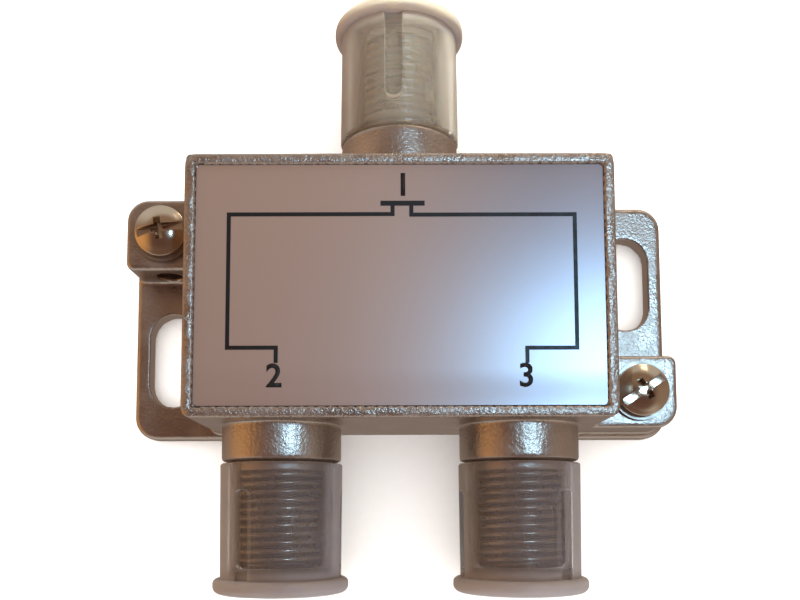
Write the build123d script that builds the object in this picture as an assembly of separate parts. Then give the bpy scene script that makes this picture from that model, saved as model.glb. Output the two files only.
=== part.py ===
from build123d import *
import os

# Two-way coaxial splitter, in millimetres. It lies on its back: the origin is the centre of
# the back face, +X is to the right of the label, +Y points out of the input port and +Z
# points out of the label.

# Die-cast box, width and height taken at the front face
box_width = 39.9
box_height = 24.7
box_depth = 15.0
box_draft = 0.28
box_corner_radius = 1.0
box_edge_radius = 0.3
side_wall = 1.6
front_wall = 1.5
cavity_corner_radius = 0.8

# Label in its recess
rim_width = 0.85
recess_depth = 0.45
label_gap = 0.25
label_thickness = 0.2
label_corner_radius = 0.4

# Back cover, let in flush with the back face
cover_thickness = 0.8
cover_ledge = 0.7
cover_gap = 0.05

# Mounting ears at the back, the same when turned half a turn about the middle of the ears
ear_reach = 8.35
ear_length = 25.2
ear_thickness = 2.0
ear_middle = -0.65
ear_root = 13.0
ear_corner_radius = 2.4
ear_edge_radius = 0.6
slot_width = 5.0
slot_length = 10.0
slot_offset = 0.125
slot_middle = 4.1

# Ground bosses on the ears, each with a blind wire hole and a clamping screw
boss_height = 6.5
boss_length = 7.4
boss_side_inset = 0.2
boss_end_inset = 0.7
boss_outer_radius = 2.2
boss_inner_radius = 0.8
boss_edge_radius = 0.45
wire_hole_radius = 1.4
wire_hole_height = 3.7
wire_hole_end_wall = 1.2

# Ground screw with its captive washer
screw_radius = 1.5
screw_length = 4.2
screw_gap = 0.05
screw_tip_room = 0.2
head_radius = 2.6
head_height = 1.7
head_round = 0.75
drive_width = 0.75
drive_depth = 0.85
cross_length = 2.9
washer_radius = 2.95
washer_thickness = 0.5
washer_gap = 0.1
left_slot_angle = 9.5
right_slot_angle = 34.0

# Ports: a plain neck, a short collar and a barrel, cast in one with the box. The barrel
# is a 3/8-32 thread's core here, so it has the thread's root radius.
port_height = 7.5
output_spacing = 23.46
neck_radius = 5.85
neck_length = 3.65
neck_edge_radius = 0.35
crest_radius = 4.7625
thread_depth = 0.48
collar_length = 1.0
port_length = 10.2
barrel_chamfer = 0.3
barrel_wall = 0.78
seat_past_neck = 1.5
rear_bore_radius = 2.4

# Insulator and centre contact of each port
insulator_gap = 0.05
insulator_recess = 0.3
insulator_face = 0.6
contact_radius = 1.0
contact_length = 6.8
contact_gap = 0.05
pin_hole_radius = 0.55
pin_hole_floor = 0.8
pin_mouth = 0.35
finger_slit = 0.25
finger_length = 4.5
tail_width = 1.0
tail_thickness = 0.4
tail_on_board = 1.8

# Dust caps, pushed over the barrels
cap_seat_gap = 0.2
cap_room = 0.31
cap_front_room = 1.15
cap_taper = 0.1
cap_wall = 0.9
cap_edge_radius = 0.2
flange_overhang = 0.6
flange_thickness = 1.45
flange_edge_radius = 0.7
cap_end_wall = 1.35
flute_count = 3
flute_width = 1.7
flute_length = 8.5
flute_depth = 0.5
rib_gap = 0.1
input_flute_angle = -5.5
left_flute_angle = -31.5
right_flute_angle = 39.5

# Circuit board and what it carries on its back side
board_side_gap = 1.35
board_end_gap = 0.95
board_thickness = 1.0
board_corner_radius = 0.6
board_over_axis = 0.5
pad_radius = 1.3
pad_inset = 2.2
core_width = 7.0
core_height = 4.0
core_length = 6.0
core_hole_radius = 0.95
core_hole_spacing = 3.4
matching_core_place = (-5.6, 3.0)
splitting_core_place = (5.6, 0.6)
winding_radius = 0.16
winding_turns = 3
winding_lane = 0.5
winding_stand_off = 0.45
resistor_radius = 1.1
resistor_length = 6.0
resistor_lead_spacing = 10.0
resistor_place = (0.0, -6.6)
resistor_stand_off = 0.3
lead_radius = 0.25
capacitor_radius = 2.2
capacitor_thickness = 1.5
capacitor_lead_spacing = 2.5
capacitor_stand_off = 0.8
capacitor_place = (-13.0, 2.5)

# How far a cut runs past the face that it opens
overrun = 1.0

# Sizes that follow from the ones above
cavity_width = box_width - 2 * side_wall
cavity_height = box_height - 2 * side_wall
cavity_top = box_depth - recess_depth - front_wall
recess_width = box_width - 2 * rim_width
recess_height = box_height - 2 * rim_width
cover_width = cavity_width + 2 * cover_ledge
cover_height = cavity_height + 2 * cover_ledge
ear_span = box_width + 2 * ear_reach
slot_line = (box_width + ear_reach) / 2 + slot_offset
boss_low = ear_middle - ear_length / 2 + boss_end_inset
boss_middle = boss_low + boss_length / 2
root_radius = crest_radius - thread_depth
port_bore_radius = root_radius - barrel_wall
neck_end = box_height / 2 + neck_length
collar_end = neck_end + collar_length
port_shoulder = neck_end + seat_past_neck
barrel_end = neck_end + port_length
insulator_front = barrel_end - insulator_recess
contact_front = insulator_front - insulator_face
contact_back = contact_front - contact_length
cap_radius = crest_radius + cap_room + cap_wall
flange_radius = cap_radius + flange_overhang
cap_start = neck_end + cap_seat_gap
cap_end = barrel_end + cap_front_room + cap_end_wall
flange_start = cap_end - flange_thickness
board_width = cavity_width - 2 * board_side_gap
board_height = cavity_height - 2 * board_end_gap
board_back = port_height + board_over_axis
on_base = (Align.CENTER, Align.CENTER, Align.MIN)
under_top = (Align.CENTER, Align.CENTER, Align.MAX)


def outward(x):
    """Move a port's piece, made along +Z, to an output: it then points along -Y."""
    return Pos(x, 0, port_height) * Rot(90, 0, 0)


def inward():
    """Move a port's piece, made along +Z, to the input: it then points along +Y."""
    return Pos(0, 0, port_height) * Rot(0, 0, 180) * Rot(90, 0, 0)


port_places = {
    "in": inward(),
    "out_left": outward(-output_spacing / 2),
    "out_right": outward(output_spacing / 2),
}


def turned_about_ears(shape):
    """The same shape half a turn round the middle of the ears."""
    return shape.rotate(Axis((0, ear_middle, 0), (0, 0, 1)), 180)


def box_shell():
    back_width = box_width + 2 * box_draft
    back_height = box_height + 2 * box_draft
    outline = loft([
        RectangleRounded(back_width, back_height, box_corner_radius + box_draft),
        Pos(0, 0, box_depth) * RectangleRounded(box_width, box_height, box_corner_radius),
    ])
    front = outline.faces().sort_by(Axis.Z)[-1]
    return fillet(front.edges(), box_edge_radius)


def right_ear():
    """The right ear's plate with its slot, and the ground boss at its lower end."""
    outer = ear_span / 2
    plate_width = outer - ear_root
    plate = Pos(outer - plate_width / 2, ear_middle, 0) * extrude(
        RectangleRounded(plate_width, ear_length, ear_corner_radius), ear_thickness)
    plate = fillet(plate.faces().sort_by(Axis.Z)[-1].edges(), ear_edge_radius)

    boss_right = outer - boss_side_inset
    boss_left = box_width / 2 - side_wall
    boss = Pos((boss_left + boss_right) / 2, boss_middle, 0) * Box(
        boss_right - boss_left, boss_length, boss_height, align=on_base)
    outer_edges = boss.edges().filter_by(Axis.Z).group_by(Axis.X)[-1].sort_by(Axis.Y)
    boss = fillet(outer_edges[0], boss_outer_radius)
    outer_edges = boss.edges().filter_by(Axis.Z).group_by(Axis.X)[-1].sort_by(Axis.Y)
    boss = fillet(outer_edges[-1], boss_inner_radius)
    boss = fillet(boss.faces().sort_by(Axis.Z)[-1].edges(), boss_edge_radius)
    return plate + boss


def right_ear_cuts():
    """The mounting slot, the wire hole from the slot's side and the tapped hole."""
    slot = Pos(slot_line, ear_middle + slot_middle, -overrun) * extrude(
        Rot(0, 0, 90) * SlotOverall(slot_length, slot_width), ear_thickness + 2 * overrun)
    mouth = Pos(slot_line, boss_low + boss_length, wire_hole_height) * Rot(90, 0, 0)
    wire_hole = mouth * Cylinder(
        wire_hole_radius, boss_length - wire_hole_end_wall, align=on_base)
    tap_depth = screw_length - washer_thickness + screw_tip_room
    tapped = Pos(slot_line, boss_middle, boss_height) * Cylinder(
        screw_radius + screw_gap, tap_depth, align=under_top)
    return [slot, wire_hole, tapped]


def port_body():
    """Neck, collar and barrel, along +Z from inside the box wall."""
    start = cavity_height / 2 + side_wall / 2
    neck = Pos(0, 0, start) * Cylinder(neck_radius, neck_end - start, align=on_base)
    neck = fillet(neck.edges().sort_by(Axis.Z)[-1], neck_edge_radius)
    collar = Pos(0, 0, start) * Cylinder(crest_radius, collar_end - start, align=on_base)
    barrel = Pos(0, 0, start) * Cylinder(root_radius, barrel_end - start, align=on_base)
    barrel = chamfer(barrel.edges().sort_by(Axis.Z)[-1], barrel_chamfer)
    return neck + collar + barrel


def port_bores():
    """The insulator's seat from the mouth, and the narrower way into the box."""
    seat = Pos(0, 0, port_shoulder) * Cylinder(
        port_bore_radius, barrel_end - port_shoulder + overrun, align=on_base)
    rear_start = cavity_height / 2 - overrun
    rear = Pos(0, 0, rear_start) * Cylinder(
        rear_bore_radius, port_shoulder + overrun - rear_start, align=on_base)
    return seat + rear


def pad_places():
    """The four pads on the front wall that the circuit board lies on."""
    x = board_width / 2 - pad_inset
    y = board_height / 2 - pad_inset
    return [(-x, -y), (x, -y), (-x, y), (x, y)]


def housing():
    ear = right_ear()
    shape = box_shell() + ear + turned_about_ears(ear)
    for place in port_places.values():
        shape += place * port_body()
    shape -= extrude(RectangleRounded(cavity_width, cavity_height, cavity_corner_radius),
                     cavity_top)
    shape -= extrude(RectangleRounded(cover_width, cover_height, box_corner_radius),
                     cover_thickness)
    shape -= Pos(0, 0, box_depth - recess_depth) * extrude(
        RectangleRounded(recess_width, recess_height, label_corner_radius), recess_depth + overrun)
    for place in port_places.values():
        shape -= place * port_bores()
    for cut in right_ear_cuts():
        shape -= cut
        shape -= turned_about_ears(cut)
    pad_length = cavity_top - board_back - board_thickness
    for x, y in pad_places():
        shape += Pos(x, y, cavity_top + front_wall / 2) * Cylinder(
            pad_radius, pad_length + front_wall / 2, align=under_top)
    return shape


def label_plate():
    return Pos(0, 0, box_depth - recess_depth) * extrude(
        RectangleRounded(recess_width - 2 * label_gap, recess_height - 2 * label_gap,
                         label_corner_radius), label_thickness)


def back_cover():
    return extrude(
        RectangleRounded(cover_width - 2 * cover_gap, cover_height - 2 * cover_gap,
                         box_corner_radius - cover_gap), cover_thickness)


def ground_washer():
    ring = Cylinder(washer_radius, washer_thickness, align=on_base)
    ring -= Cylinder(screw_radius + washer_gap, washer_thickness, align=on_base)
    return Pos(slot_line, boss_middle, boss_height) * ring


def ground_screw(slot_angle):
    """Pan head with a slot and a cross recess, and a plain shank of the thread's size."""
    head = Cylinder(head_radius, head_height, align=on_base)
    head = fillet(head.edges().sort_by(Axis.Z)[-1], head_round)
    shank = Cylinder(screw_radius, screw_length, align=under_top)
    shank = chamfer(shank.edges().sort_by(Axis.Z)[0], screw_radius / 4)
    slot = Pos(0, 0, head_height) * Box(
        2 * (head_radius + overrun), drive_width, 2 * drive_depth)
    cross = Pos(0, 0, head_height) * Box(drive_width, cross_length, 2 * drive_depth)
    screw = head + shank - Rot(0, 0, slot_angle) * (slot + cross)
    top_of_washer = boss_height + washer_thickness
    return Pos(slot_line, boss_middle, top_of_washer) * screw


def cup_profile():
    """Half section of the cap without its flutes: the distance from the axis along X."""
    closed_radius = cap_radius - cap_taper
    inside_end = cap_end - cap_end_wall
    outline = Polyline(
        (0, cap_end), (flange_radius, cap_end), (flange_radius, flange_start),
        (closed_radius, flange_start), (cap_radius, cap_start),
        (cap_radius - cap_wall, cap_start), (closed_radius - cap_wall, inside_end),
        (0, inside_end), close=True)
    profile = make_face(outline)
    flange_corners = profile.vertices().group_by(Axis.X)[-1].sort_by(Axis.Y)
    profile = fillet(flange_corners[-1], flange_edge_radius)
    flange_corners = profile.vertices().group_by(Axis.X)[-1].sort_by(Axis.Y)
    profile = fillet(flange_corners[0], 0.8 * flange_overhang)
    mouth_corner = profile.vertices().group_by(Axis.Y)[0].sort_by(Axis.X)[-1]
    return fillet(mouth_corner, cap_edge_radius)


def dust_cap(flute_angle):
    """A moulded cup with a flange round its closed end, and flutes pressed into its side."""
    cup = revolve(Rot(90, 0, 0) * cup_profile(), axis=Axis.Z)
    rib_face = crest_radius + rib_gap
    groove_floor = cap_radius - cap_taper - flute_depth
    flute_start = flange_start - flute_length
    rib_length = cap_end - cap_end_wall / 2 - flute_start
    groove_length = flute_length + flute_width
    flat = Rot(-90, 0, 0) * Rot(0, 0, 90)
    rib = Pos(0, rib_face, flute_start + rib_length / 2) * flat * extrude(
        SlotOverall(rib_length, flute_width), groove_floor - rib_face)
    groove = Pos(0, groove_floor, flute_start + groove_length / 2) * flat * extrude(
        SlotOverall(groove_length, flute_width), cap_wall)
    groove -= Pos(0, 0, flange_start) * Cylinder(2 * flange_radius, cap_end, align=on_base)
    for step in range(flute_count):
        turn = Rot(0, 0, -(flute_angle + step * 360 / flute_count))
        cup = cup + turn * rib - turn * groove
    return cup


def port_insulator():
    body = Pos(0, 0, port_shoulder) * Cylinder(
        port_bore_radius - insulator_gap, insulator_front - port_shoulder, align=on_base)
    body -= Pos(0, 0, port_shoulder) * Cylinder(
        contact_radius + contact_gap, contact_front - port_shoulder, align=on_base)
    body -= Pos(0, 0, contact_front) * Cylinder(
        pin_hole_radius, insulator_face, align=on_base)
    mouth = Pos(0, 0, insulator_front - pin_mouth) * Cone(
        pin_hole_radius, pin_hole_radius + pin_mouth, pin_mouth, align=on_base)
    return body - mouth


def centre_contact():
    """A split tube that grips the cable's core, with a flat tail soldered to the board."""
    tube = Pos(0, 0, contact_back) * Cylinder(contact_radius, contact_length, align=on_base)
    tube -= Pos(0, 0, contact_front) * Cylinder(
        pin_hole_radius, contact_length - pin_hole_floor, align=under_top)
    for angle in (0, 90):
        tube -= Pos(0, 0, contact_front) * Rot(0, 0, angle) * Box(
            2 * (contact_radius + overrun), finger_slit, finger_length, align=under_top)
    tail_top = board_back - port_height
    tail_start = board_height / 2 - tail_on_board
    tail = Pos(0, tail_top - tail_thickness / 2, tail_start) * Box(
        tail_width, tail_thickness, contact_back + tail_thickness - tail_start,
        align=on_base)
    return tube + tail


def circuit_board():
    return Pos(0, 0, board_back) * extrude(
        RectangleRounded(board_width, board_height, board_corner_radius), board_thickness)


def ferrite_core(place):
    """A two-hole core on the back of the board, with its holes along Y."""
    outline = Rot(90, 0, 0) * SlotOverall(core_width, core_height)
    core = extrude(outline, core_length / 2, both=True)
    for side in (-1, 1):
        core -= Pos(side * core_hole_spacing / 2, 0, 0) * Rot(90, 0, 0) * Cylinder(
            core_hole_radius, core_length + 2 * overrun)
    return Pos(place[0], place[1], board_back - core_height / 2) * core


def winding(place):
    """One wire through both holes, turn after turn, with its two ends on the board."""
    x = core_hole_spacing / 2
    end = core_length / 2 + winding_stand_off
    middle = core_height / 2
    lanes = [winding_lane * (step - (winding_turns - 1) / 2) - middle
             for step in reversed(range(winding_turns))]
    route = [(-x, end, 0)]
    for lane in lanes:
        route += [(-x, end, lane), (-x, -end, lane), (x, -end, lane), (x, end, lane)]
    last = end + 2 * winding_stand_off
    route[-1] = (x, last, lanes[-1])
    route.append((x, last, 0))
    path = FilletPolyline(*route, radius=1.5 * winding_radius)
    wire = sweep(Plane(path @ 0, z_dir=path % 0) * Circle(winding_radius), path)
    return Pos(place[0], place[1], board_back) * wire


def isolation_resistor():
    """A round body on one wire, whose two ends bend over to the board."""
    x = resistor_lead_spacing / 2
    height = resistor_radius + resistor_stand_off
    body = Pos(0, 0, -height) * Rot(0, 90, 0) * Cylinder(resistor_radius, resistor_length)
    body = fillet(body.edges().filter_by(GeomType.CIRCLE), resistor_radius / 3)
    path = FilletPolyline((-x, 0, 0), (-x, 0, -height), (x, 0, -height), (x, 0, 0),
                          radius=2 * lead_radius)
    wire = sweep(Plane(path @ 0, z_dir=path % 0) * Circle(lead_radius), path)
    return Pos(resistor_place[0], resistor_place[1], board_back) * (body + wire)


def tuning_capacitor():
    height = capacitor_radius + capacitor_stand_off
    disc = Pos(0, 0, -height) * Rot(90, 0, 0) * Cylinder(
        capacitor_radius, capacitor_thickness)
    disc = fillet(disc.edges().filter_by(GeomType.CIRCLE), capacitor_thickness / 3)
    for side in (-1, 1):
        disc += Pos(side * capacitor_lead_spacing / 2, 0, -height) * Cylinder(
            lead_radius, height, align=on_base)
    return Pos(capacitor_place[0], capacitor_place[1], board_back) * disc


nodes = {
    "housing": housing(),
    "label_plate": label_plate(),
    "back_cover": back_cover(),
    "ground_washer_right": ground_washer(),
    "ground_washer_left": turned_about_ears(ground_washer()),
    "ground_screw_right": ground_screw(right_slot_angle),
    "ground_screw_left": turned_about_ears(ground_screw(left_slot_angle)),
    "circuit_board": circuit_board(),
    "matching_core": ferrite_core(matching_core_place),
    "splitting_core": ferrite_core(splitting_core_place),
    "matching_winding": winding(matching_core_place),
    "splitting_winding": winding(splitting_core_place),
    "isolation_resistor": isolation_resistor(),
    "tuning_capacitor": tuning_capacitor(),
    "dust_cap_in": port_places["in"] * dust_cap(-input_flute_angle),
    "dust_cap_out_left": port_places["out_left"] * dust_cap(left_flute_angle),
    "dust_cap_out_right": port_places["out_right"] * dust_cap(right_flute_angle),
}
for port, place in port_places.items():
    nodes["port_insulator_" + port] = place * port_insulator()
    nodes["centre_contact_" + port] = place * centre_contact()

os.makedirs("parts", exist_ok=True)
for name, shape in nodes.items():
    export_step(shape, "parts/" + name + ".step")
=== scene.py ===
import math

import bpy
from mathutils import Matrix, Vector


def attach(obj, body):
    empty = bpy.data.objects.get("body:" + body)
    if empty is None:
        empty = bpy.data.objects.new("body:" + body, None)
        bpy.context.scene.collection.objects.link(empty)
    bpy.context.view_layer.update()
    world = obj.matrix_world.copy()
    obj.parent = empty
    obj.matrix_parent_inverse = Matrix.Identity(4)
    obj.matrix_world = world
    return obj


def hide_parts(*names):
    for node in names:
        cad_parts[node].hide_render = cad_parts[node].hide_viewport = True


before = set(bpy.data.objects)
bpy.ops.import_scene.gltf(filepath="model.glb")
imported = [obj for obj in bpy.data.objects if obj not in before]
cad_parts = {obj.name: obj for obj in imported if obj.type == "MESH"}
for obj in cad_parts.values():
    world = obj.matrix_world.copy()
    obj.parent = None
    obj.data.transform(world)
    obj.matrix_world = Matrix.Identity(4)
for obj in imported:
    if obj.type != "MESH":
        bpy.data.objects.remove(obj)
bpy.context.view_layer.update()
mm = 0.001
print("frame loaded,", len(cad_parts), "nodes")


def linearColour(hexText):  # an sRGB hex value as linear red, green, blue and alpha
    shares = [int(hexText[i:i + 2], 16) / 255 for i in (1, 3, 5)]
    return [s / 12.92 if s <= 0.04045 else ((s + 0.055) / 1.055) ** 2.4 for s in shares] + [1]


def perMillimetres(size):  # texture scale whose features are about this many millimetres
    return 1 / (size * mm)


def addNode(tree, kind, settings=None, **inputs):  # an input is named, or numbered as i0, i1 and so on
    node = tree.nodes.new(kind)
    for name, value in (settings or {}).items():
        setattr(node, name, value)
    for name, value in inputs.items():
        byNumber = name[0] == "i" and name[1:].isdigit()
        socket = node.inputs[int(name[1:]) if byNumber else name.replace("_", " ")]
        if isinstance(value, bpy.types.NodeSocket):
            tree.links.new(value, socket)
        else:
            socket.default_value = value
    return node


def startMaterial(name):
    material = bpy.data.materials.new(name)
    material.use_nodes = True
    tree = material.node_tree
    tree.nodes.clear()
    surface = addNode(tree, "ShaderNodeBsdfPrincipled")
    addNode(tree, "ShaderNodeOutputMaterial", Surface=surface.outputs["BSDF"])
    place = addNode(tree, "ShaderNodeTexCoord").outputs["Object"]
    return material, tree, surface, place


# Settings that several nodes share
colourMix = {"data_type": "RGBA"}
smoothRamp = {"interpolation_type": "SMOOTHSTEP"}
times = {"operation": "MULTIPLY"}
timesPlus = {"operation": "MULTIPLY_ADD"}
sizeOnly = {"operation": "ABSOLUTE"}

# The colour and gloss of the plated casting, and how rough its skin is
castNickel = {
    "bright": "#c6b8ac",
    "dull": "#a2948a",
    "cloudSize": 2.6,
    "crinkleSize": 0.30,
    "crinkleHeight": 0.046,
    "grainSize": 0.13,
    "grainHeight": 0.016,
    "skinSize": 1.6,
    "skinHeight": 0.06,
    "smooth": 0.28,
    "rough": 0.46,
    "rimFrom": 14.2,
    "rimTo": 14.6,
    "rimCrinkle": 2.2,
    "rimDull": 0.04,
}


def makeCastNickel(name, crinkleShare, roughShare, paintedShadeShare):
    # Zinc die casting, nickel plated as cast: a warm bright metal over a crinkled skin whose
    # small flanks glint one by one where a light stands right, and stay brown elsewhere.
    m = castNickel
    material, tree, surface, place = startMaterial(name)
    surface.inputs["Metallic"].default_value = 1
    clouds = addNode(tree, "ShaderNodeTexNoise", Vector=place, Scale=perMillimetres(m["cloudSize"]),
                     Detail=3.0)
    # The colour is scaled by the last share: below 1 it is painted shade, a darker copy of the same plated
    # metal.
    colour = addNode(tree, "ShaderNodeMix", colourMix, Factor=clouds.outputs["Fac"],
                     i6=[c * paintedShadeShare for c in linearColour(m["dull"])],
                     i7=[c * paintedShadeShare for c in linearColour(m["bright"])])
    tree.links.new(colour.outputs[2], surface.inputs["Base Color"])
    gloss = addNode(tree, "ShaderNodeMapRange", i0=clouds.outputs["Fac"], i1=0.3, i2=0.7,
                    i3=m["smooth"] * roughShare, i4=m["rough"] * roughShare)
    height = addNode(tree, "ShaderNodeSeparateXYZ", Vector=place)
    onRim = addNode(tree, "ShaderNodeMapRange", smoothRamp, i0=height.outputs["Z"],
                    i1=m["rimFrom"] * mm, i2=m["rimTo"] * mm)  # the blasted face that frames the label
    dull = addNode(tree, "ShaderNodeMath", timesPlus, i0=onRim.outputs[0], i1=m["rimDull"],
                   i2=gloss.outputs[0])
    tree.links.new(dull.outputs[0], surface.inputs["Roughness"])
    rimShare = addNode(tree, "ShaderNodeMath", timesPlus, i0=onRim.outputs[0], i1=m["rimCrinkle"] - 1,
                       i2=1.0)
    crinkles = addNode(tree, "ShaderNodeTexNoise", Vector=place, Scale=perMillimetres(m["crinkleSize"]),
                       Detail=1.5, Distortion=0.4)
    raised = addNode(tree, "ShaderNodeMath", times, i0=crinkles.outputs["Fac"], i1=rimShare.outputs[0])
    crinkleBump = addNode(tree, "ShaderNodeBump", Strength=1.0,
                          Distance=m["crinkleHeight"] * crinkleShare * mm, Height=raised.outputs[0])
    grain = addNode(tree, "ShaderNodeTexNoise", Vector=place, Scale=perMillimetres(m["grainSize"]),
                    Detail=2.0)
    grainBump = addNode(tree, "ShaderNodeBump", Strength=1.0, Distance=m["grainHeight"] * mm,
                        Height=grain.outputs["Fac"], Normal=crinkleBump.outputs["Normal"])
    skin = addNode(tree, "ShaderNodeTexNoise", Vector=place, Scale=perMillimetres(m["skinSize"]),
                   Detail=1.0)
    skinBump = addNode(tree, "ShaderNodeBump", Strength=0.5, Distance=m["skinHeight"] * mm,
                       Height=skin.outputs["Fac"], Normal=grainBump.outputs["Normal"])
    tree.links.new(skinBump.outputs["Normal"], surface.inputs["Normal"])
    return material


# The foil of the label: its colour is painted bluer towards the right, a painted reflection of the blue
# light there, and it rolls down at its low edge
foil = {
    "left": "#e8e0e2",
    "right": "#bcbcc8",
    "paintedGlareFrom": -3.0,
    "paintedGlareTo": 15.0,
    "metallic": 0.36,
    "roughness": 0.31,
    "brushSize": 0.05,
    "brushLength": 3.0,
    "brushHeight": 0.01,
    "waveSize": 9.0,
    "waveHeight": 0.05,
    "rollStart": -7.6,
    "rollEnd": -11.6,
    "rollDrop": 0.15,
}


def makeFoil():
    # Satin metallised polyester label: softly mirrors what is above it, with a very fine
    # brushed streak along the label.
    m = foil
    material, tree, surface, place = startMaterial("satinMetallisedFoil")
    surface.inputs["Metallic"].default_value = m["metallic"]
    surface.inputs["Roughness"].default_value = m["roughness"]
    stretched = addNode(tree, "ShaderNodeMapping", Vector=place,
                        Scale=(m["brushSize"] / m["brushLength"], 1, 1))
    streaks = addNode(tree, "ShaderNodeTexNoise", Vector=stretched.outputs[0],
                      Scale=perMillimetres(m["brushSize"]), Detail=2.0)
    waves = addNode(tree, "ShaderNodeTexNoise", Vector=place, Scale=perMillimetres(m["waveSize"]),
                    Detail=1.0)
    spot = addNode(tree, "ShaderNodeSeparateXYZ", Vector=place)
    # painted reflection: the colour turns from the left one to the bluer right one across the label, where
    # the blue light gleams
    paintedGlare = addNode(tree, "ShaderNodeMapRange", smoothRamp, i0=spot.outputs["X"],
                   i1=m["paintedGlareFrom"] * mm, i2=m["paintedGlareTo"] * mm)
    colour = addNode(tree, "ShaderNodeMix", colourMix, Factor=paintedGlare.outputs[0],
                     i6=linearColour(m["left"]), i7=linearColour(m["right"]))
    tree.links.new(colour.outputs[2], surface.inputs["Base Color"])
    bump = addNode(tree, "ShaderNodeBump", Strength=0.12, Distance=m["brushHeight"] * mm,
                   Height=streaks.outputs["Fac"])
    waveBump = addNode(tree, "ShaderNodeBump", Strength=0.3, Distance=m["waveHeight"] * mm,
                       Height=waves.outputs["Fac"], Normal=bump.outputs[0])
    lowEdge = addNode(tree, "ShaderNodeMapRange", smoothRamp, i0=spot.outputs["Y"],
                      i1=m["rollEnd"] * mm, i2=m["rollStart"] * mm, i3=0.0, i4=1.0)
    rollBump = addNode(tree, "ShaderNodeBump", Strength=1.0, Distance=m["rollDrop"] * mm,
                       Height=lowEdge.outputs[0], Normal=waveBump.outputs[0])
    tree.links.new(rollBump.outputs["Normal"], surface.inputs["Normal"])
    return material


# The dust caps' plastic: how much of the view each face of the wall takes, and its gloss
capPlastic = {
    "clear": "#b3adaf",
    "milky": "#c1bcb8",
    "cover": 0.20,
    "slantStart": 0.36,
    "slantEnd": 0.6,
    "coverAslant": 0.84,
    "coverThick": 0.84,
    "thickStart": 26.1,
    "thickEnd": 27.1,
    "roughness": 0.42,
    "mistSize": 2.4,
    "scuffSize": 0.3,
    "scuffHeight": 0.03,
    "glowDepth": 2.5,
}


def makeCapPlastic():
    # Natural low-density polyethylene, injection moulded: waxy and milky. The eye sees the
    # thread through the thin wall as a dark shape with light beads, and loses it where it
    # looks along the wall or through the thick flange.
    m = capPlastic
    material, tree, surface, place = startMaterial("naturalPolyethylene")
    mist = addNode(tree, "ShaderNodeTexNoise", Vector=place, Scale=perMillimetres(m["mistSize"]),
                   Detail=3.0)
    colour = addNode(tree, "ShaderNodeMix", colourMix, Factor=mist.outputs["Fac"],
                     i6=linearColour(m["clear"]), i7=linearColour(m["milky"]))
    tree.links.new(colour.outputs[2], surface.inputs["Base Color"])
    slant = addNode(tree, "ShaderNodeLayerWeight", Blend=0.5)
    wall = addNode(tree, "ShaderNodeMapRange", smoothRamp, i0=slant.outputs["Facing"],
                   i1=m["slantStart"], i2=m["slantEnd"], i3=m["cover"], i4=m["coverAslant"])
    spot = addNode(tree, "ShaderNodeSeparateXYZ", Vector=place)
    along = addNode(tree, "ShaderNodeMath", sizeOnly, i0=spot.outputs["Y"])
    cover = addNode(tree, "ShaderNodeMapRange", smoothRamp, i0=along.outputs[0],
                    i1=m["thickStart"] * mm, i2=m["thickEnd"] * mm, i3=wall.outputs[0], i4=m["coverThick"])
    tree.links.new(cover.outputs[0], surface.inputs["Alpha"])
    surface.inputs["IOR"].default_value = 1.51
    surface.inputs["Specular IOR Level"].default_value = 0.25
    surface.inputs["Subsurface Weight"].default_value = 0.9
    surface.inputs["Subsurface Scale"].default_value = m["glowDepth"] * mm
    surface.inputs["Subsurface Radius"].default_value = (1.0, 0.85, 0.65)
    gloss = addNode(tree, "ShaderNodeMapRange", i0=mist.outputs["Fac"], i1=0.3, i2=0.7,
                    i3=m["roughness"] * 0.85, i4=m["roughness"] * 1.2)
    tree.links.new(gloss.outputs[0], surface.inputs["Roughness"])
    scuffs = addNode(tree, "ShaderNodeTexNoise", Vector=place, Scale=perMillimetres(m["scuffSize"]),
                     Detail=2.0)
    bump = addNode(tree, "ShaderNodeBump", Strength=0.12, Distance=m["scuffHeight"] * mm,
                   Height=scuffs.outputs["Fac"])
    tree.links.new(bump.outputs["Normal"], surface.inputs["Normal"])
    return material


# Small parts: colour, metallic share, roughness and grain size in millimetres
plainFinishes = {
    "brightNickelSteel": ("#c6b49f", 1.0, 0.19, 0.4),      # bright nickel on turned steel, a clear mirror
    "dullZincWasher": ("#b4a89c", 1.0, 0.40, 0.25),        # tumbled zinc plate, a soft grey
    "tinnedSteelSheet": ("#c3c2c0", 1.0, 0.38, 0.6),       # tin-plated sheet, greyer and softer
    "naturalPolypropylene": ("#e9e6dd", 0.0, 0.42, 0.5),   # moulded white insulator
    "tinnedBrass": ("#cdbb8e", 1.0, 0.28, 0.3),            # spring brass under thin tin
    "paperLaminate": ("#a9824c", 0.0, 0.55, 0.4),          # pressed phenolic paper board
    "sinteredFerrite": ("#2a2a2d", 0.0, 0.62, 0.2),        # dull grey-black ceramic
    "enamelledCopper": ("#a8482a", 0.85, 0.25, 0.3),       # lacquered wire
    "resistorLacquer": ("#d8bf94", 0.0, 0.35, 0.3),        # beige film resistor
    "ceramicDip": ("#b56f2e", 0.0, 0.45, 0.35),            # wax-dipped ceramic disc
    "printersInk": ("#17161a", 0.0, 0.5, 0.1),             # screen-printed black ink
}


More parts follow.
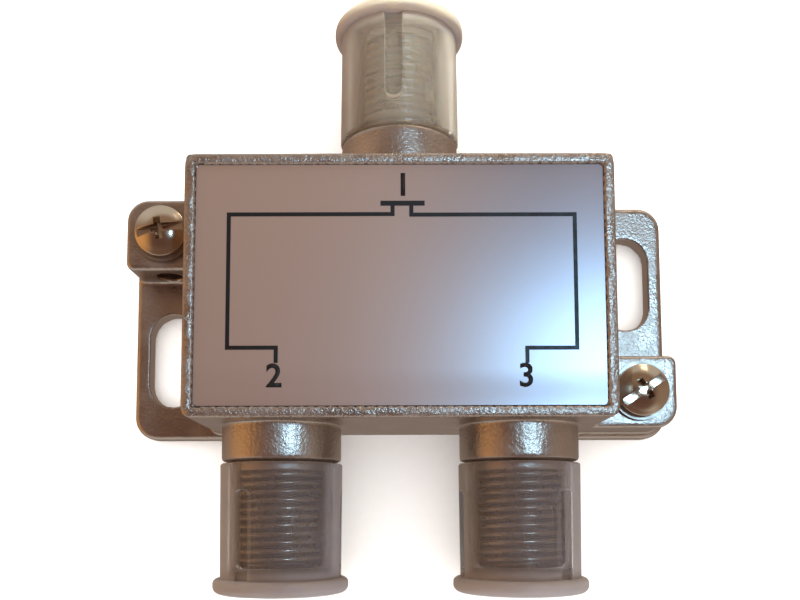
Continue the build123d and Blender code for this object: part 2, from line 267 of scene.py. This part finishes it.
def makePlainFinish(name):  # its colour darkens in faint clouds, over a fine grain
    colourHex, metal, roughness, grainSize = plainFinishes[name]
    material, tree, surface, place = startMaterial(name)
    surface.inputs["Metallic"].default_value = metal
    grain = addNode(tree, "ShaderNodeTexNoise", Vector=place, Scale=perMillimetres(grainSize), Detail=3.0)
    clouds = addNode(tree, "ShaderNodeTexNoise", Vector=place, Scale=perMillimetres(grainSize * 6),
                     Detail=2.0)
    dark = [c * 0.78 for c in linearColour(colourHex)[:3]] + [1]
    colour = addNode(tree, "ShaderNodeMix", colourMix, Factor=clouds.outputs["Fac"],
                     i6=dark, i7=linearColour(colourHex))
    tree.links.new(colour.outputs[2], surface.inputs["Base Color"])
    gloss = addNode(tree, "ShaderNodeMapRange", i0=clouds.outputs["Fac"], i1=0.3, i2=0.7,
                    i3=roughness * 0.85, i4=roughness * 1.2)
    tree.links.new(gloss.outputs[0], surface.inputs["Roughness"])
    bump = addNode(tree, "ShaderNodeBump", Strength=0.15, Distance=0.02 * mm, Height=grain.outputs["Fac"])
    tree.links.new(bump.outputs["Normal"], surface.inputs["Normal"])
    return material


finishes = {name: makePlainFinish(name) for name in plainFinishes}
finishes["castNickel"] = makeCastNickel("nickelPlatedZincCasting", 1.0, 1.0, 1.0)
# The thread's colour is scaled to 0.66: painted shade, since the plated thread is no darker than the
# casting and lies in the cap's shade.
finishes["shadedThreadNickel"] = makeCastNickel("nickelThreadPaintedShade", 0.1, 0.68, 0.66)  # the thread is far smoother
finishes["foil"] = makeFoil()
finishes["capPlastic"] = makeCapPlastic()

nodeFinishes = {
    "housing": "castNickel", "label_plate": "foil", "back_cover": "tinnedSteelSheet",
    "ground_washer_left": "dullZincWasher", "ground_washer_right": "dullZincWasher",
    "ground_screw_left": "brightNickelSteel", "ground_screw_right": "brightNickelSteel",
    "dust_cap_in": "capPlastic", "dust_cap_out_left": "capPlastic", "dust_cap_out_right": "capPlastic",
    "port_insulator_in": "naturalPolypropylene", "port_insulator_out_left": "naturalPolypropylene",
    "port_insulator_out_right": "naturalPolypropylene",
    "centre_contact_in": "tinnedBrass", "centre_contact_out_left": "tinnedBrass",
    "centre_contact_out_right": "tinnedBrass",
    "circuit_board": "paperLaminate",
    "matching_core": "sinteredFerrite", "splitting_core": "sinteredFerrite",
    "matching_winding": "enamelledCopper", "splitting_winding": "enamelledCopper",
    "isolation_resistor": "resistorLacquer", "tuning_capacitor": "ceramicDip",
}


def giveFinish(obj, name):
    obj.data.materials.clear()
    obj.data.materials.append(finishes[name])


for node, finish in nodeFinishes.items():
    giveFinish(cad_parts[node], finish)
print("finishes on the nodes")


def selectOnly(obj):
    bpy.ops.object.select_all(action="DESELECT")
    obj.select_set(True)
    bpy.context.view_layer.objects.active = obj


def clearMesh(obj, picks):  # nothing in it stays picked, and edit mode then picks by vertex or face
    selectOnly(obj)
    bpy.ops.object.mode_set(mode="EDIT")
    bpy.ops.mesh.select_mode(type=picks)
    bpy.ops.mesh.select_all(action="DESELECT")
    bpy.ops.object.mode_set(mode="OBJECT")


def settle(obj):  # its place goes into its mesh, as on a CAD node
    selectOnly(obj)
    bpy.ops.object.transform_apply(location=True, rotation=True, scale=True)


def applyModifier(obj, kind, **settings):
    modifier = obj.modifiers.new(kind.title(), kind)
    for name, value in settings.items():
        setattr(modifier, name, value)
    selectOnly(obj)
    bpy.ops.object.modifier_apply(modifier=modifier.name)


def joinPieces(name, pieces):
    bpy.ops.object.select_all(action="DESELECT")
    for piece in pieces:
        piece.select_set(True)
    bpy.context.view_layer.objects.active = pieces[0]
    bpy.ops.object.join()
    pieces[0].name = name
    return pieces[0]


# The casting: every edge and inner corner of a die casting is soft, so the node's form is
# taken over, rounded as a whole, and its front rim gets the real one's small crimps
casting = {
    "voxel": 0.15,
    "smoothing": 2,
    "triangles": 190000,
    "crimpPitch": 0.9,
    "crimpDepth": 0.035,
    "rimInside": (18.95, 11.35),
    "rimUnder": 0.15,
    "rimBand": 0.85,
    "rimCorner": 0.8,
    "rimLow": 14.5,
    "rimTop": 15.0,
    "rimStep": 0.16,
}


def makeCasting():
    m = casting
    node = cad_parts["housing"]
    piece = node.copy()
    piece.data = node.data.copy()
    piece.name = "dieCastHousing"
    bpy.context.scene.collection.objects.link(piece)
    piece.parent = None
    for key in list(piece.keys()):
        del piece[key]
    selectOnly(piece)
    bpy.ops.object.mode_set(mode="EDIT")
    bpy.ops.mesh.select_all(action="SELECT")
    bpy.ops.mesh.remove_doubles(threshold=0.0005 * mm)
    bpy.ops.object.mode_set(mode="OBJECT")
    applyModifier(piece, "REMESH", mode="VOXEL", voxel_size=m["voxel"] * mm)
    applyModifier(piece, "SMOOTH", factor=0.5, iterations=m["smoothing"])
    halfWide, halfHigh = m["rimInside"]
    for vertex in piece.data.vertices:  # the rim is flat on top, and its crimped inner edge drops straight
        x, y, z = (c / mm for c in vertex.co)
        fromSide, fromEnd = abs(x) - halfWide, abs(y) - halfHigh
        over = max(fromSide, fromEnd)
        if z < m["rimLow"] or over < -m["rimUnder"] or over > m["rimBand"]:
            continue
        along = y if fromSide > fromEnd else x
        over += m["crimpDepth"] * (math.cos(2 * math.pi * along / m["crimpPitch"])
                                   + 0.6 * math.sin(2 * math.pi * along / (m["crimpPitch"] * 0.61) + x))
        rise = min(1, max(0, over / m["rimStep"] + 0.5))
        if rise == 1 or min(fromSide, fromEnd) < -m["rimCorner"]:
            vertex.co.z = (m["rimLow"] + (m["rimTop"] - m["rimLow"]) * rise) * mm
    triangles = sum(len(face.vertices) - 2 for face in piece.data.polygons)
    applyModifier(piece, "DECIMATE", ratio=min(1, m["triangles"] / triangles))
    bpy.ops.object.shade_smooth()
    giveFinish(piece, "castNickel")
    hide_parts("housing")
    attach(piece, "splitter")
    print("casting softened,", len(piece.data.polygons), "triangles")


makeCasting()

# The three ports: where each axis stands and which way it points
portHeight = 7.5 * mm
ports = {
    "In": (Vector((0, 0, portHeight)), 1),
    "OutLeft": (Vector((-11.73 * mm, 0, portHeight)), -1),
    "OutRight": (Vector((11.73 * mm, 0, portHeight)), -1),
}


def threadRidge(name, t):  # one ridge wound round Z from t["start"] to t["end"], closed at both ends
    bpy.ops.object.select_all(action="DESELECT")
    bpy.ops.mesh.primitive_plane_add(size=1, rotation=(math.pi / 2, 0, 0))
    ridge = bpy.context.object
    ridge.name = name
    settle(ridge)
    for vertex in ridge.data.vertices:  # the plane becomes one ridge's section
        outside = vertex.co.x > 0
        vertex.co.x = (t["crest"] if outside else t["root"] - t["sink"]) * mm
        vertex.co.z *= (t["crestShare"] if outside else t["rootShare"]) * t["pitch"] * mm
    clearMesh(ridge, "VERT")
    for vertex in ridge.data.vertices:
        vertex.select = vertex.co.x > t["root"] * mm
    bpy.ops.object.mode_set(mode="EDIT")
    bpy.ops.mesh.bevel(offset=t["crestRound"] * mm, segments=4, affect="VERTICES")
    bpy.ops.object.mode_set(mode="OBJECT")
    turns = math.ceil((t["end"] - t["start"]) / t["pitch"])
    applyModifier(ridge, "SCREW", axis="Z", angle=2 * math.pi, screw_offset=t["pitch"] * mm,
                  iterations=turns, steps=t["steps"], render_steps=t["steps"], use_smooth_shade=False,
                  use_normal_calculate=True)
    selectOnly(ridge)
    bpy.ops.object.mode_set(mode="EDIT")
    bpy.ops.mesh.select_mode(type="VERT")
    bpy.ops.mesh.select_all(action="SELECT")
    bpy.ops.mesh.remove_doubles(threshold=0.001 * mm)
    bpy.ops.mesh.select_all(action="DESELECT")
    bpy.ops.mesh.select_non_manifold()
    bpy.ops.mesh.fill()
    bpy.ops.mesh.select_all(action="SELECT")
    bpy.ops.mesh.normals_make_consistent(inside=False)
    bpy.ops.object.mode_set(mode="OBJECT")
    tip = t["root"] - t["leadIn"]
    for vertex in ridge.data.vertices:  # lifted to its start, and cut back by the lead-in at its end
        vertex.co.z += t["start"] * mm
        reach = math.hypot(vertex.co.x, vertex.co.y)
        allowed = max((tip + t["end"]) * mm - vertex.co.z, (tip - t["tipDrop"]) * mm)
        if reach > allowed:
            vertex.co.x *= allowed / reach
            vertex.co.y *= allowed / reach
        vertex.co.z = min(vertex.co.z, (t["end"] - t["endGap"]) * mm)
    return ridge


# The 3/8-32 thread on each barrel
barrelThread = {
    "pitch": 0.79375,
    "crestShare": 0.5,
    "rootShare": 0.99,
    "crestRound": 0.19,
    "crest": 4.75,
    "root": 4.34,
    "sink": 0.0,
    "leadIn": 0.3,
    "tipDrop": 0.15,
    "start": 16.4,
    "end": 26.2,
    "endGap": 0.02,
    "steps": 48,
}


def makeBarrelThread(port):
    ridge = threadRidge("barrelThread" + port, barrelThread)
    axisPlace, way = ports[port]
    ridge.rotation_euler = (-way * math.pi / 2, 0, 0)
    ridge.location = axisPlace
    settle(ridge)
    bpy.ops.object.shade_smooth_by_angle(angle=math.radians(35))
    # the plated metal painted darker, as painted shade inside the cap
    giveFinish(ridge, "shadedThreadNickel")
    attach(ridge, "splitter")


for port in ports:
    makeBarrelThread(port)
print("barrel threads cut")

# The ground screws: pan heads with a slot and a cross recess, on an M3 shank
groundScrew = {
    "places": {"left": (-24.25, 7.55, 9.5), "right": (24.25, -8.85, 34.0)},
    "underHead": 7.0,
    "headRadius": 2.6,
    "headHeight": 1.7,
    "headRim": 0.75,
    "dome": [(0.06, 0.05), (0.14, 0.07), (0.3, 0.213), (0.4, 0.225), (0.45, 0.185), (0.45, 0.124),
             (0.45, 0.067)],
    "slotWidth": 0.78,
    "slotDepth": 0.8,
    "armLength": 3.1,
    "armWidth": 0.95,
    "armTaper": 0.5,
    "armFloor": 1.6,
    "armDepth": 1.15,
    "burr": 0.06,
    "shankRadius": 1.24,
    "shankLength": 4.15,
    "shankInHead": 0.02,
    "shankTip": 0.3,
    "shadeAngle": 24,
    "thread": {"pitch": 0.5, "crestShare": 0.14, "rootShare": 0.99, "crestRound": 0.03, "crest": 1.46,
               "root": 1.22, "sink": 0.02, "leadIn": 0.1, "tipDrop": 0.15, "start": 0.35, "end": 4.1,
               "endGap": 0.02, "steps": 24},
}


def cutBox(piece, sizeTop, sizeFloor, depth, place, turn):  # a recess with a mouth and a floor size
    bpy.ops.object.select_all(action="DESELECT")
    bpy.ops.mesh.primitive_cube_add(size=1)
    cutter = bpy.context.object
    for vertex in cutter.data.vertices:
        size = sizeTop if vertex.co.z > 0 else sizeFloor
        vertex.co.x *= size[0] * mm
        vertex.co.y *= size[1] * mm
        vertex.co.z *= 2 * depth * mm
    cutter.rotation_euler = (0, 0, math.radians(turn))
    cutter.location = [c * mm for c in place]
    settle(cutter)
    applyModifier(piece, "BOOLEAN", operation="DIFFERENCE", object=cutter, solver="EXACT")
    bpy.data.objects.remove(cutter)


def makeGroundScrew(side):
    s = groundScrew
    x, y, turn = s["places"][side]
    top = s["underHead"] + s["headHeight"]
    bpy.ops.object.select_all(action="DESELECT")
    bpy.ops.mesh.primitive_cylinder_add(vertices=72, radius=s["headRadius"] * mm, depth=s["headRim"] * mm,
                                        location=(x * mm, y * mm, (s["underHead"] + s["headRim"] / 2) * mm))
    head = bpy.context.object
    settle(head)
    for ring in s["dome"]:  # the flat top is drawn in and up, ring by ring, into a pan
        clearMesh(head, "FACE")
        highest = max(face.center.z for face in head.data.polygons)
        for face in head.data.polygons:
            face.select = face.center.z > highest - 0.001 * mm
        bpy.ops.object.mode_set(mode="EDIT")
        bpy.ops.mesh.inset(thickness=ring[0] * mm)
        bpy.ops.transform.translate(value=(0, 0, ring[1] * mm))
        bpy.ops.object.mode_set(mode="OBJECT")
    full = 2.2 * s["headRadius"]
    cutBox(head, (full, s["slotWidth"]), (full, s["slotWidth"]), s["slotDepth"], (x, y, top), turn)
    for arm in (0, 90):
        cutBox(head, (s["armLength"], s["armWidth"]), (s["armFloor"], s["armWidth"] * s["armTaper"]),
               s["armDepth"], (x, y, top), turn + arm)
    applyModifier(head, "BEVEL", width=s["burr"] * mm, segments=2, limit_method="ANGLE",
                  angle_limit=math.radians(35))
    bpy.ops.object.select_all(action="DESELECT")
    middle = s["underHead"] - s["shankLength"] / 2 + s["shankInHead"]
    bpy.ops.mesh.primitive_cylinder_add(vertices=40, radius=s["shankRadius"] * mm,
                                        depth=s["shankLength"] * mm,
                                        location=(x * mm, y * mm, middle * mm))
    shank = bpy.context.object
    settle(shank)
    applyModifier(shank, "BEVEL", width=s["shankTip"] * mm, segments=2, limit_method="ANGLE",
                  angle_limit=math.radians(60))
    ridge = threadRidge("shankThread", s["thread"])
    ridge.rotation_euler = (math.pi, 0, 0)
    ridge.location = (x * mm, y * mm, s["underHead"] * mm)
    settle(ridge)
    screw = joinPieces("groundScrew" + side.title(), [head, shank, ridge])
    selectOnly(screw)
    bpy.ops.object.shade_smooth_by_angle(angle=math.radians(s["shadeAngle"]))
    giveFinish(screw, "brightNickelSteel")
    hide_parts("ground_screw_" + side)
    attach(screw, side + "_screw")


for side in groundScrew["places"]:
    makeGroundScrew(side)
print("ground screws made")

# The print on the label, in millimetres: the circuit line, and a plain number at each port
labelPrint = {
    "line": 0.37,
    "bar": 0.46,
    "ink": 0.02,
    "onto": 14.75,
    "inputBar": [(-1.55, 7.58), (2.08, 7.58)],
    "left": [(-0.66, 7.58), (-0.66, 6.55), (-15.79, 6.55), (-15.79, -5.93), (-11.34, -5.93),
             (-11.34, -7.15)],
    "right": [(1.07, 7.58), (1.07, 6.49), (16.17, 6.49), (16.17, -6.0), (11.6, -6.0), (11.6, -7.22)],
    "numberSize": 3.01,
    "numberWeight": 0.06,
    "numbers": {"1": (0.3, 9.25), "2": (-11.5, -8.62), "3": (11.5, -8.62)},
}


def inkBar(start, end, width, stroke):  # one straight stroke, which begins where the stroke before it stops
    bpy.ops.object.select_all(action="DESELECT")
    bpy.ops.mesh.primitive_plane_add(size=1)
    bar = bpy.context.object
    first, last = Vector((*start, 0)), Vector((*end, 0))
    way = (last - first).normalized()
    first += way * stroke / 2
    last += way * width / 2
    across = Vector((way.y, way.x, 0)) * width
    bar.scale = [abs(share) * mm for share in (last - first + across).to_2d()] + [1]
    bar.location = (*((first + last) / 2 * mm).to_2d(), labelPrint["onto"] * mm)
    settle(bar)
    return bar


def makeCircuitLine():
    m = labelPrint
    strokes = [inkBar(*m["inputBar"], m["bar"], -m["bar"])]
    for run in (m["left"], m["right"]):
        before = m["bar"]
        for start, end in zip(run, run[1:]):
            strokes.append(inkBar(start, end, m["line"], before))
            before = m["line"]
    return strokes


def makePortNumber(text, middle):
    m = labelPrint
    bpy.ops.object.select_all(action="DESELECT")
    bpy.ops.object.text_add(location=(middle[0] * mm, middle[1] * mm, m["onto"] * mm))
    number = bpy.context.object
    number.data.body = text
    number.data.align_x = "CENTER"
    number.data.align_y = "CENTER"
    number.data.size = m["numberSize"] * mm
    number.data.offset = m["numberWeight"] * mm
    bpy.ops.object.convert(target="MESH")
    number = bpy.context.object
    settle(number)
    return number


inkPieces = makeCircuitLine()
inkPieces += [makePortNumber(text, middle) for text, middle in labelPrint["numbers"].items()]
ink = joinPieces("labelPrint", inkPieces)
applyModifier(ink, "SOLIDIFY", thickness=labelPrint["ink"] * mm, offset=1)
giveFinish(ink, "printersInk")
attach(ink, "splitter")
print("label printed")

# The floor and the room: pale card on a table, in a lamp-lit brown room
studio = {
    "floor": "#f6f5f3",
    "fibres": "#f1efec",
    "fibreSize": 0.9,
    "floorWidth": 3,
    "floorDrop": 0.02,
    "room": "#7a6054",
    "paleWalls": "#d6d3cf",
    "strength": 1.25,
}

# Each side of the room: its axis, where its colour starts and where it is full, and the colour
roomSides = [
    ("X", 0.4, 0.95, "#a3907f"),     # the wall on the right
    ("Z", 0.5, 0.9, "#6b5148"),      # the dark ceiling
    ("X", -0.5, -0.98, "#f2b877"),   # the lamp-lit wall on the left
    ("Z", 0.05, -0.35, "#958880"),   # the table
    ("Y", 0.05, 0.5, "#98806c"),     # the wall behind
]

# Each light: its place and aim in metres, the side of its square, its power and its colour
lights = {
    "floorLight": ((0.1, 0.2, 1.0), (0, 0, 0), 3.4, 90.0, "#ffffff"),
    "flash": ((0.062, 0.0185, 0.173), (0, 0, 0.01), 0.035, 0.132, "#a9dcff"),
    "lampBehind": ((0.13, 0.32, 0.09), (0, 0, 0.01), 0.07, 0.09, "#ffe2bd"),
    "capLamp": ((0.012, 0.066, 0.044), (0, 0, 0.01), 0.03, 0.09, "#fbfade"),
    "lowLamp": ((0.035, -0.070, 0.06), (0, -0.02, 0.01), 0.03, 0.026, "#dbe2f4"),
}


def makePalePaper():
    # Uncoated white card: matt, with a faint cloud of fibres that only shows close by.
    material, tree, surface, place = startMaterial("palePaper")
    fibres = addNode(tree, "ShaderNodeTexNoise", Vector=place, Scale=perMillimetres(studio["fibreSize"]),
                     Detail=3.0)
    colour = addNode(tree, "ShaderNodeMix", colourMix, Factor=fibres.outputs["Fac"],
                     i6=linearColour(studio["fibres"]), i7=linearColour(studio["floor"]))
    tree.links.new(colour.outputs[2], surface.inputs["Base Color"])
    surface.inputs["Roughness"].default_value = 0.9
    return material


bpy.ops.object.select_all(action="DESELECT")
bpy.ops.mesh.primitive_plane_add(size=studio["floorWidth"], location=(0, 0, -studio["floorDrop"] * mm))
floor = bpy.context.object
floor.name = "paleFloor"
floor.data.materials.append(makePalePaper())
floor.visible_diffuse = False
floor.visible_glossy = False  # metal mirrors the brown room, and the floor is still seen through the caps


def makeLight(name):  # a square lamp that the camera doesn't see
    place, aim, side, power, colourHex = lights[name]
    light = bpy.data.lights.new(name, "AREA")
    light.shape = "RECTANGLE"
    light.size = side
    light.size_y = side
    light.energy = power
    light.color = linearColour(colourHex)[:3]
    lamp = bpy.data.objects.new(name, light)
    bpy.context.scene.collection.objects.link(lamp)
    lamp.location = place
    lamp.rotation_euler = (Vector(aim) - Vector(place)).to_track_quat("-Z", "Y").to_euler()
    lamp.visible_camera = False
    return lamp


def lightOnly(lamp, objects):  # the lamp lights nothing else
    lit = bpy.data.collections.new(lamp.name + "Only")
    for obj in objects:
        lit.objects.link(obj)
    lamp.light_linking.receiver_collection = lit


lamps = {name: makeLight(name) for name in lights}
lamps["flash"].visible_diffuse = False  # a small far window: its gleam counts, not its light
caps = [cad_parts[node] for node in ("dust_cap_in", "dust_cap_out_left", "dust_cap_out_right")]
lightOnly(lamps["floorLight"], [floor])
lightOnly(lamps["lowLamp"], caps)  # light that milky plastic gathers and passes on in its walls
lightOnly(lamps["capLamp"], caps[:1])

world = bpy.data.worlds.new("brownRoom")
bpy.context.scene.world = world
world.use_nodes = True
room = world.node_tree
room.nodes.clear()
outwards = addNode(room, "ShaderNodeTexCoord").outputs["Generated"]
way = addNode(room, "ShaderNodeSeparateXYZ", Vector=outwards)
sides = linearColour(studio["room"])
for axis, start, end, colourHex in roomSides:  # the room's colour changes towards each side
    share = addNode(room, "ShaderNodeMapRange", smoothRamp, i0=way.outputs[axis], i1=start, i2=end)
    sides = addNode(room, "ShaderNodeMix", colourMix, Factor=share.outputs[0], i6=sides,
                    i7=linearColour(colourHex)).outputs[2]

# Flanks that are seen from low down mirror pale walls in front and behind, a little above and
# below the horizon; the eye itself meets a pale backdrop
towards = addNode(room, "ShaderNodeMath", sizeOnly, i0=way.outputs["Y"])
ahead = addNode(room, "ShaderNodeMapRange", smoothRamp, i0=towards.outputs[0], i1=0.35, i2=0.75)
tilt = addNode(room, "ShaderNodeMath", sizeOnly, i0=way.outputs["Z"])
level = addNode(room, "ShaderNodeMapRange", smoothRamp, i0=tilt.outputs[0], i1=0.6, i2=0.35)
walls = addNode(room, "ShaderNodeMath", times, i0=ahead.outputs[0], i1=level.outputs[0])
mirrored = addNode(room, "ShaderNodeMix", colourMix, Factor=walls.outputs[0], i6=sides,
                   i7=linearColour(studio["paleWalls"]))
eye = addNode(room, "ShaderNodeLightPath").outputs["Is Camera Ray"]
seen = addNode(room, "ShaderNodeMix", colourMix, Factor=eye, i6=mirrored.outputs[2],
               i7=linearColour(studio["floor"]))
background = addNode(room, "ShaderNodeBackground", Color=seen.outputs[2], Strength=studio["strength"])
addNode(room, "ShaderNodeOutputWorld", Surface=background.outputs[0])
bpy.context.scene.view_settings.view_transform = "Standard"

# The camera, fitted to the photograph
view = {
    "lens": 36.225,
    "sensor": 36,
    "shiftX": 0.00013,
    "shiftY": 0.1796,
    "place": (-0.000115, -0.020582, 0.087234),
    "turn": (0.0803, -0.0007, -0.0030),
    "near": 0.001,
}
cameraData = bpy.data.cameras.new("camera")
camera = bpy.data.objects.new("camera", cameraData)
bpy.context.scene.collection.objects.link(camera)
cameraData.sensor_fit = "HORIZONTAL"
cameraData.sensor_width = view["sensor"]
cameraData.lens = view["lens"]
cameraData.shift_x = view["shiftX"]
cameraData.shift_y = view["shiftY"]
cameraData.clip_start = view["near"]
camera.location = view["place"]
camera.rotation_euler = view["turn"]
bpy.context.scene.camera = camera
print("floor, light and camera set")
